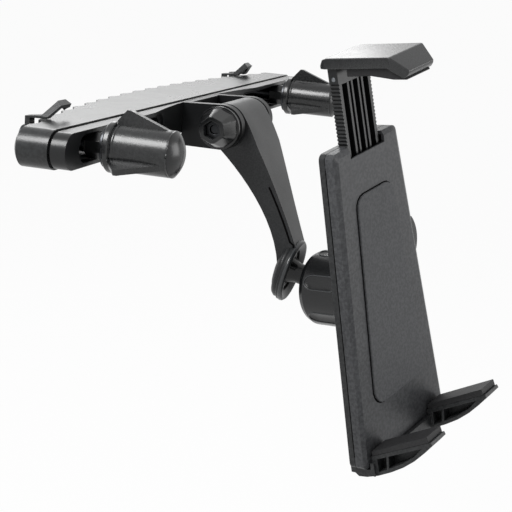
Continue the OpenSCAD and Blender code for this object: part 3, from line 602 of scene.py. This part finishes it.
@dataclass
class PostClamp:
    """One clamp on the bar: guide block, claw, bolt and finned knob.

    Args:
        side: "left" or "right".
        edge_mm: radius of the moulded edges.
        pitch_mm: the bolt's thread pitch.
        crest_mm: radius of the thread's crest line.
        wire_mm: radius of the crest itself.
        chamfer_mm: the bolt's bare tip.
        shank_mm: the bolt's plain end at the claw.
        barrel_mm: just over the radius of the knob's round part.
        grooves_mm: the rings' distances from the knob's foot.
    """

    side: str
    edge_mm: float = 0.45
    pitch_mm: float = 1.0
    crest_mm: float = 2.9
    wire_mm: float = 0.22
    chamfer_mm: float = 0.5
    shank_mm: float = 12.0
    barrel_mm: float = 9.4
    grooves_mm: tuple[float, ...] = (2.6, 4.2, 24.2)

    def node(self, piece: str) -> str:
        """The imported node's name of a piece on this side."""
        return f"{self.side}_{piece}"

    def build(self, helix: Helix) -> None:
        """Dresses the clamp's pieces and winds the bolt's thread.

        Args:
            helix: the tree that winds threads.
        """
        Softened(self.node("guide_block"), Kind.PLATE, radius_mm=0.3).build()
        Softened(self.node("claw"), Kind.CHANNEL, radius_mm=self.edge_mm).build()
        Softened(self.node("claw_pad"), Kind.LINER, radius_mm=0.3).build()
        Softened(self.node("clamp_bolt"), Kind.ZINC, radius_mm=0.3).build()
        Softened(self.node("washer"), Kind.ZINC, radius_mm=0.2).build()
        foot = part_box(self.node("knob"))[1].y
        low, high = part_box(self.node("clamp_bolt"))
        axis = (low + high) / 2
        rings = [Groove(Vector((axis.x, foot - place * MM, axis.z)), self.barrel_mm * MM)
                 for place in self.grooves_mm]
        Softened(self.node("knob"), Kind.KNOB, radius_mm=0.5, segments=3, grooves=rings).build()
        Softened(self.node("knob_nut"), Kind.ZINC, radius_mm=0.25).build()
        Softened(self.node("knob_cap"), Kind.CAP, radius_mm=0.4, segments=3).build()
        self.thread(helix)

    def thread(self, helix: Helix) -> None:
        """Winds the thread's crest on the clamp bolt.

        Args:
            helix: the tree that winds threads.
        """
        low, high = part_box(self.node("clamp_bolt"))
        centre = (low + high) / 2
        start = low.y + self.chamfer_mm * MM
        length = high.y - start - self.shank_mm * MM
        place = (Matrix.Translation(Vector((centre.x, start, centre.z)))
                 @ Matrix.Rotation(math.radians(-90), 4, "X"))
        sizes = {"Radius": self.crest_mm * MM, "Pitch": self.pitch_mm * MM, "Length": length,
                 "Wire": self.wire_mm * MM}
        wire = helix.wind(self.node("clamp_bolt.thread"), place, sizes, Kind.ZINC)
        finish_piece(wire, Kind.ZINC, self.side + "_clamp")


@dataclass
class ArmJoint:
    """The bracket on the bar and the cross bolt with its hexagon cap."""

    edge_mm: float = 0.4

    def build(self) -> None:
        """Dresses the bracket, bolt, washers, cap and nut."""
        Softened("pivot_bracket", Kind.BRACKET, radius_mm=self.edge_mm, segments=3).build()
        Softened("bracket_screws", Kind.ZINC, radius_mm=0.25).build()
        Softened("pivot_bolt", Kind.ZINC, radius_mm=0.25).build()
        Softened("friction_washers", Kind.LINER, radius_mm=0.12).build()
        Softened("pivot_cap", Kind.CAP, radius_mm=self.edge_mm).build()
        Softened("pivot_nut", Kind.ZINC, radius_mm=0.2).build()


@dataclass(frozen=True)
class DishRing:
    """A round ring laid on the dish.

    Args:
        name: the ring's name.
        radius_mm: the ring's radius.
        height_mm: its height over the dish's place, towards the ball.
        thick_mm: the radius of its wire.
        kind: its finish.
    """

    name: str
    radius_mm: float
    height_mm: float
    thick_mm: float
    kind: Kind


@dataclass
class Arm:
    """The bowed arm with its dish and ball stud.

    Args:
        edge_mm: radius of the moulded edges.
        seam_share: the seam's place across the flank, from the front edge.
        seam_from: where it starts, as a share of the arm's height from its top.
        seam_reach: the share of the height that it covers.
        seam_steps: points along it, less one.
        seam_sink_mm: how deep its middle line lies.
        seam_thick_mm: radius of its wire.
        dish_mm: the dish's place.
        fall_deg: how far the ball's stud points down.
        dish_rings: the rings on the dish.
        ring_steps: points round each of them.
    """

    edge_mm: float = 0.9
    seam_share: float = 0.2
    seam_from: float = 0.40
    seam_reach: float = 0.30
    seam_steps: int = 24
    seam_sink_mm: float = 0.15
    seam_thick_mm: float = 0.5
    dish_mm: tuple[float, float, float] = (0.0, -50.6, -66.5)
    fall_deg: float = 13.3
    dish_rings: tuple[DishRing, ...] = (
        # The first ring is lighter: a painted highlight along the dish's outer edge
        DishRing("rim_highlight", 13.35, 0.0, 1.25, Kind.EDGE),
        DishRing("roll", 11.7, -2.7, 2.0, Kind.ARM),
        # The last ring is black: painted shade in the dish's dip
        DishRing("hollow_shade", 9.6, -1.3, 1.0, Kind.SEAM))
    ring_steps: int = 96

    def build(self) -> None:
        """Dresses the arm, the stud and its screw."""
        Softened("arm", Kind.ARM, radius_mm=self.edge_mm, segments=3).build()
        Softened("ball_stud", Kind.BALL, radius_mm=0.3).build()
        Softened("stud_screw", Kind.ZINC, radius_mm=0.2).build()
        for side in (-1, 1):
            self.seam(side)
        for ring in self.dish_rings:
            self.dish_ring(ring)

    def dish_ring(self, ring: DishRing) -> None:
        """Lays one ring on the dish, tilted with it.

        Args:
            ring: its sizes and finish.
        """
        tilt = Matrix.Rotation(math.radians(90 + self.fall_deg), 4, "X")
        place = Matrix.Translation(Vector(self.dish_mm) * MM) @ tilt
        points = []
        for step in range(self.ring_steps):
            angle = math.tau * step / self.ring_steps
            point = Vector((ring.radius_mm * math.cos(angle), ring.radius_mm * math.sin(angle),
                            ring.height_mm))
            points.append(place @ (point * MM))
        line = tube("arm." + ring.name, points, ring.thick_mm, closed=True)
        finish_piece(line, ring.kind, "arm_set")

    def seam(self, side: int) -> None:
        """Painted shade in the groove along one flank, from half way down to the dish: a black wire
        sunk in its skin.

        Args:
            side: -1 for the flank at -x, 1 for the one at +x.
        """
        skin = Surface("arm")
        low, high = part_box("arm")
        points = []
        for step in range(self.seam_steps + 1):
            share = self.seam_from + self.seam_reach * step / self.seam_steps
            z = high.z + (low.z - high.z) * share
            front = skin.hit(Vector((0, low.y - FAR, z)), Vector((0, 1, 0)))
            rear = skin.hit(Vector((0, high.y + FAR, z)), Vector((0, -1, 0)))
            y = front.y + (rear.y - front.y) * self.seam_share
            flank = skin.hit(Vector((side * FAR, y, z)), Vector((-side, 0, 0)))
            if flank is not None:
                points.append(flank - Vector((side * self.seam_sink_mm * MM, 0, 0)))
        line = tube(f"arm.seam.{'left' if side < 0 else 'right'}", points, self.seam_thick_mm)
        # The black wire is painted shade in the flank's groove
        finish_piece(line, Kind.SEAM, "arm_set")


@dataclass
class BallJoint:
    """The liner, collet, socket and lock ring round the ball.

    Args:
        place: the holder's frame, in which the ring stands.
        edge_mm: radius of the ring's edges.
        ring_mm: the ring's radius.
        flute_mm: radius of a finger flute.
        flute_out_mm: distance of a flute's axis from the ring's.
        flute_ends_mm: where a flute's round ends are centred, along the ring's axis.
        flutes: how many there are.
        first_deg: the first one's angle.
        bead_mm: radius of the raised edge round a flute.
        bead_steps: points along each of its ends, less one.
    """

    place: HolderFrame = field(default_factory=HolderFrame)
    edge_mm: float = 0.5
    ring_mm: float = 17.0
    flute_mm: float = 11.2
    flute_out_mm: float = 27.4
    flute_ends_mm: tuple[float, float] = (-6.5, 2.9)
    flutes: int = 6
    first_deg: float = 30.0
    bead_mm: float = 0.34
    bead_steps: int = 16

    def build(self) -> None:
        """Dresses the joint's pieces."""
        Softened("ball_liner", Kind.LINER, radius_mm=0.2).build()
        Softened("ball_collet", Kind.BALL, radius_mm=0.2).build()
        Softened("socket", Kind.RING, radius_mm=0.3).build()
        Softened("lock_ring", Kind.RING, radius_mm=self.edge_mm, angle_deg=20.0, segments=3).build()
        for number in range(self.flutes):
            self.flute_edge(number)

    def flute_edge(self, number: int) -> None:
        """A raised bead round one finger flute, in a lighter colour that paints the highlight along
        the flute's edge.

        Args:
            number: the flute, from 0.
        """
        middle = math.radians(self.first_deg) + math.tau * number / self.flutes
        ring, out, flute = self.ring_mm, self.flute_out_mm, self.flute_mm
        widest = math.acos((ring ** 2 + out ** 2 - flute ** 2) / (2 * ring * out))
        turns = [widest * math.cos(math.pi * step / self.bead_steps)
                 for step in range(self.bead_steps + 1)]
        points = []
        for end, way, order in zip(self.flute_ends_mm, (-1, 1), (turns, turns[::-1])):
            for turn in order:
                gap = ring ** 2 + out ** 2 - 2 * ring * out * math.cos(turn)
                y = end + way * math.sqrt(max(flute ** 2 - gap, 0.0))
                angle = middle + turn
                points.append(Vector((ring * math.cos(angle), y, -ring * math.sin(angle))) * MM)
        matrix = self.place.matrix()
        line = tube(f"lock_ring.edge.{number}", [matrix @ point for point in points],
                    self.bead_mm, closed=True)
        finish_piece(line, Kind.EDGE, "ring")


@dataclass
class Holder:
    """The two shells, face pad, feet and release of the tablet holder.

    Args:
        place: the holder's frame.
        edge_mm: radius of the moulded edges.
        gap_mm: width of the gap round the face pad.
        gap_rise_mm: thickness of the shade that stands for it.
        split_mm: where the shells meet, along the holder's y.
        parting_mm: ends of the parting line, along the holder's z.
        parting_steps: points along it, less one.
        parting_thick_mm: radius of its wire.
        parting_shift_mm: its place from the flank's point, inwards and backwards.
        probe_mm: how far in front of the split the flank is felt for.
        coil_mm: radius of the release spring's coil.
        coil_pitch_mm: its pitch.
        coil_wire_mm: radius of its wire.
    """

    place: HolderFrame = field(default_factory=HolderFrame)
    edge_mm: float = 0.5
    gap_mm: float = 0.45
    gap_rise_mm: float = 0.12
    split_mm: float = -21.1
    parting_mm: tuple[float, float] = (-64.0, 64.0)
    parting_steps: int = 8
    parting_thick_mm: float = 0.3
    parting_shift_mm: tuple[float, float] = (0.15, 0.6)
    probe_mm: float = 0.5
    coil_mm: float = 1.1
    coil_pitch_mm: float = 0.7
    coil_wire_mm: float = 0.15

    def build(self, helix: Helix) -> None:
        """Dresses the holder's pieces.

        Args:
            helix: the tree that winds coils.
        """
        Softened("back_shell", Kind.BACK, radius_mm=0.6, segments=3).build()
        Softened("front_shell", Kind.SHELL, radius_mm=0.45, angle_deg=20.0, segments=3).build()
        Softened("shell_screws", Kind.ZINC, radius_mm=0.2).build()
        Softened("face_pad", Kind.PAD, radius_mm=0.4, segments=3).build()
        Softened("bottom_jaw", Kind.BACK, radius_mm=self.edge_mm, segments=3).build()
        Softened("jaw_screws", Kind.ZINC, radius_mm=0.2).build()
        Softened("left_foot_pad", Kind.LINER, radius_mm=0.3).build()
        Softened("right_foot_pad", Kind.LINER, radius_mm=0.3).build()
        Softened("release_button", Kind.BUTTON, radius_mm=0.12).build()
        Softened("pawl", Kind.BACK, radius_mm=0.08).build()
        Softened("pawl_pin", Kind.STEEL, radius_mm=0.15).build()
        self.coil(helix)
        self.pad_gap_shade()
        for side in (-1, 1):
            self.parting(side)

    def parting(self, side: int) -> None:
        """Painted shade in the gap where the shells meet, along one flank: a black wire.

        Args:
            side: -1 for the flank at -x, 1 for the one at +x.
        """
        skin = Surface("front_shell")
        matrix = self.place.matrix()
        turn = matrix.to_3x3()
        first, last = self.parting_mm
        inwards, back = self.parting_shift_mm
        points = []
        for step in range(self.parting_steps + 1):
            z = first + (last - first) * step / self.parting_steps
            start = matrix @ Vector((side * FAR, (self.split_mm - self.probe_mm) * MM, z * MM))
            flank = skin.hit(start, turn @ Vector((-side, 0, 0)))
            if flank is not None:
                points.append(flank + turn @ Vector((-side * inwards, back, 0)) * MM)
        line = tube(f"shells.parting.{'left' if side < 0 else 'right'}", points,
                    self.parting_thick_mm)
        finish_piece(line, Kind.SEAM, "holder")

    def pad_gap_shade(self) -> None:
        """Painted shade in the gap round the face pad: a thin black copy of the pad that shows past
        its edge.
        """
        source = frame["nodes"]["face_pad"]
        bm = bmesh.new()
        bm.from_mesh(source.data)
        bm.transform(self.place.matrix().inverted())
        xs, ys, zs = zip(*[v.co for v in bm.verts])
        centre = Vector(((min(xs) + max(xs)) / 2, max(ys), (min(zs) + max(zs)) / 2))
        wide = Vector((max(xs) - min(xs), max(ys) - min(ys), max(zs) - min(zs)))
        grow = 2 * self.gap_mm * MM
        scale = Vector(((wide.x + grow) / wide.x, self.gap_rise_mm * MM / wide.y,
                        (wide.z + grow) / wide.z))
        for vert in bm.verts:
            off = vert.co - centre
            vert.co = centre + Vector((off.x * scale.x, off.y * scale.y, off.z * scale.z))
        bm.transform(self.place.matrix())
        finish_piece(new_piece("face_pad.gap", bm), Kind.SEAM, "holder")

    def coil(self, helix: Helix) -> None:
        """Winds the release spring in place of its stand-in.

        Args:
            helix: the tree that winds coils.
        """
        node = frame["nodes"]["release_spring"]
        inverse = self.place.matrix().inverted()
        points = [inverse @ v.co for v in node.data.vertices]
        low = Vector([min(p[i] for p in points) for i in range(3)])
        high = Vector([max(p[i] for p in points) for i in range(3)])
        centre = (low + high) / 2
        place = (self.place.matrix() @ Matrix.Translation(Vector((low.x, centre.y, centre.z)))
                 @ Matrix.Rotation(math.radians(90), 4, "Y"))
        sizes = {"Radius": self.coil_mm * MM, "Pitch": self.coil_pitch_mm * MM,
                 "Length": high.x - low.x, "Wire": self.coil_wire_mm * MM, "Sides": 8}
        wire = helix.wind("release_spring.coil", place, sizes, Kind.STEEL)
        finish_piece(wire, Kind.STEEL, "release", ["release_spring"])


@dataclass
class Slider:
    """The toothed rack with the top jaw."""

    def build(self) -> None:
        """Dresses the rack, jaw, liner and pin."""
        Softened("slider_rack", Kind.PLATE, radius_mm=0.15).build()
        Softened("top_jaw", Kind.SHADED_JAW, radius_mm=0.6, angle_deg=15.0, segments=3).build()
        Softened("top_jaw_liner", Kind.LINER, radius_mm=0.4).build()
        Softened("jaw_pin", Kind.STEEL, radius_mm=0.1).build()


# ---------------------------------------------------------------- studio

@dataclass(frozen=True)
class Lamp:
    """A soft square lamp.

    Args:
        name: its name.
        place: where it hangs.
        aim: the point it looks at.
        size: its side.
        watts: its power.
    """

    name: str
    place: tuple[float, float, float]
    aim: tuple[float, float, float]
    size: float
    watts: float

    def build(self) -> None:
        """Adds the lamp to the scene."""
        data = bpy.data.lights.new(self.name, "AREA")
        data.shape = "SQUARE"
        data.size = self.size
        data.energy = self.watts
        obj = bpy.data.objects.new(self.name, data)
        obj.location = self.place
        obj.visible_camera = False
        way = Vector(self.aim) - Vector(self.place)
        obj.rotation_euler = way.to_track_quat("-Z", "Y").to_euler()
        bpy.context.scene.collection.objects.link(obj)


@dataclass
class Studio:
    """Pale floor, soft light and the camera at the photograph's angle.

    Args:
        eye_mm: the camera's place.
        right: the picture's right.
        forward: the way it looks.
        focal_px: focal length in pixels.
        frame_px: the frame's side in pixels.
        sensor_mm: the sensor's width.
        near: what lies nearer to the camera than this isn't drawn.
        floor_mm: the floor's height.
        floor_size: half the floor's side.
        floor_white: how much of the floor shows as white, the rest as paper with its shadow.
        fill: strength of the world as light.
        lamps: the lamps, above, behind and beside the mount.
    """

    eye_mm: tuple[float, float, float] = (-551.8, -203.5, 75.3)
    right: tuple[float, float, float] = (0.311, -0.948, 0.074)
    forward: tuple[float, float, float] = (0.930, 0.287, -0.232)
    focal_px: float = 1300.0
    frame_px: float = 512.0
    sensor_mm: float = 36.0
    near: float = 0.02
    floor_mm: float = -330.0
    floor_size: float = 30.0
    floor_white: float = 0.95
    fill: float = 0.3
    lamps: tuple[Lamp, ...] = (
        Lamp("lamp.top", (-0.62, 0.32, 0.66), (-0.05, 0.0, -0.02), 0.40, 9.0),
        Lamp("lamp.back", (0.80, 0.36, 0.40), (0.0, -0.05, 0.0), 0.35, 1.2),
        Lamp("lamp.side", (0.25, -0.95, 0.15), (0.0, -0.06, -0.05), 0.5, 3.0))

    def build(self) -> None:
        """Builds floor, world, lamps and camera."""
        self.floor()
        self.world()
        for lamp in self.lamps:
            lamp.build()
        self.camera()

    @staticmethod
    def seen(tree: bpy.types.NodeTree) -> bpy.types.NodeSocket:
        """Tells what is looked at, in a mirror or through glass too, from what only gives light.

        Args:
            tree: the tree that gets the nodes.

        Returns:
            A socket that is 1 for what is looked at.
        """
        ray = add(tree, "ShaderNodeLightPath").outputs
        direct = add(tree, "ShaderNodeMath", {".operation": "MAXIMUM"},
                     {0: ray["Is Camera Ray"], 1: ray["Is Glossy Ray"]})
        return add(tree, "ShaderNodeMath", {".operation": "MAXIMUM"},
                   {0: direct.outputs[0], 1: ray["Is Transmission Ray"]}).outputs[0]

    def floor(self) -> None:
        """A wide white floor that keeps a faint shadow."""
        bm = bmesh.new()
        bmesh.ops.create_grid(bm, x_segments=1, y_segments=1, size=self.floor_size,
                              matrix=Matrix.Translation((0, 0, self.floor_mm * MM)))
        obj = new_piece("floor", bm)
        mat = bpy.data.materials.new("white paper")
        mat.use_nodes = True
        tree = mat.node_tree
        tree.nodes.clear()
        paper = add(tree, "ShaderNodeBsdfDiffuse", {"Color": linear("#f4f4f4")})
        white = add(tree, "ShaderNodeEmission", {"Color": (1, 1, 1, 1), "Strength": 1.0})
        share = add(tree, "ShaderNodeMath", {".operation": "MULTIPLY", 1: self.floor_white},
                    {0: self.seen(tree)})
        mix = add(tree, "ShaderNodeMixShader", None,
                  {0: share.outputs[0], 1: paper.outputs[0], 2: white.outputs[0]})
        add(tree, "ShaderNodeOutputMaterial", None, {"Surface": mix.outputs[0]})
        obj.data.materials.append(mat)

    def world(self) -> None:
        """White to the eye and in reflections, a plain grey fill as light."""
        world = bpy.data.worlds.new("studio")
        world.use_nodes = True
        tree = world.node_tree
        tree.nodes.clear()
        fill = add(tree, "ShaderNodeBackground", {"Color": (1, 1, 1, 1), "Strength": self.fill})
        white = add(tree, "ShaderNodeBackground", {"Color": (1, 1, 1, 1), "Strength": 1.0})
        mix = add(tree, "ShaderNodeMixShader", None,
                  {0: self.seen(tree), 1: fill.outputs[0], 2: white.outputs[0]})
        add(tree, "ShaderNodeOutputWorld", None, {"Surface": mix.outputs[0]})
        bpy.context.scene.world = world

    def camera(self) -> None:
        """Adds the camera and makes it the scene's."""
        data = bpy.data.cameras.new("camera")
        data.sensor_fit = "HORIZONTAL"
        data.sensor_width = self.sensor_mm
        data.lens = self.focal_px / self.frame_px * self.sensor_mm
        data.clip_start = self.near
        obj = bpy.data.objects.new("camera", data)
        forward = Vector(self.forward).normalized()
        right = Vector(self.right)
        right = (right - forward * right.dot(forward)).normalized()
        up = right.cross(forward)
        turn = Matrix((right, up, -forward)).transposed()
        obj.matrix_world = Matrix.Translation(Vector(self.eye_mm) * MM) @ turn.to_4x4()
        bpy.context.scene.collection.objects.link(obj)
        bpy.context.scene.camera = obj


def main() -> None:
    """Builds the mount and its studio."""
    logging.basicConfig(level=logging.INFO, format="%(message)s")
    bpy.context.scene.view_settings.view_transform = "Standard"
    helix = Helix()
    Bar().build()
    for side in ("left", "right"):
        PostClamp(side).build(helix)
    ArmJoint().build()
    Arm().build()
    BallJoint().build()
    Holder().build(helix)
    Slider().build()
    Studio().build()
    bpy.context.view_layer.update()


if __name__ == "__main__":
    main()
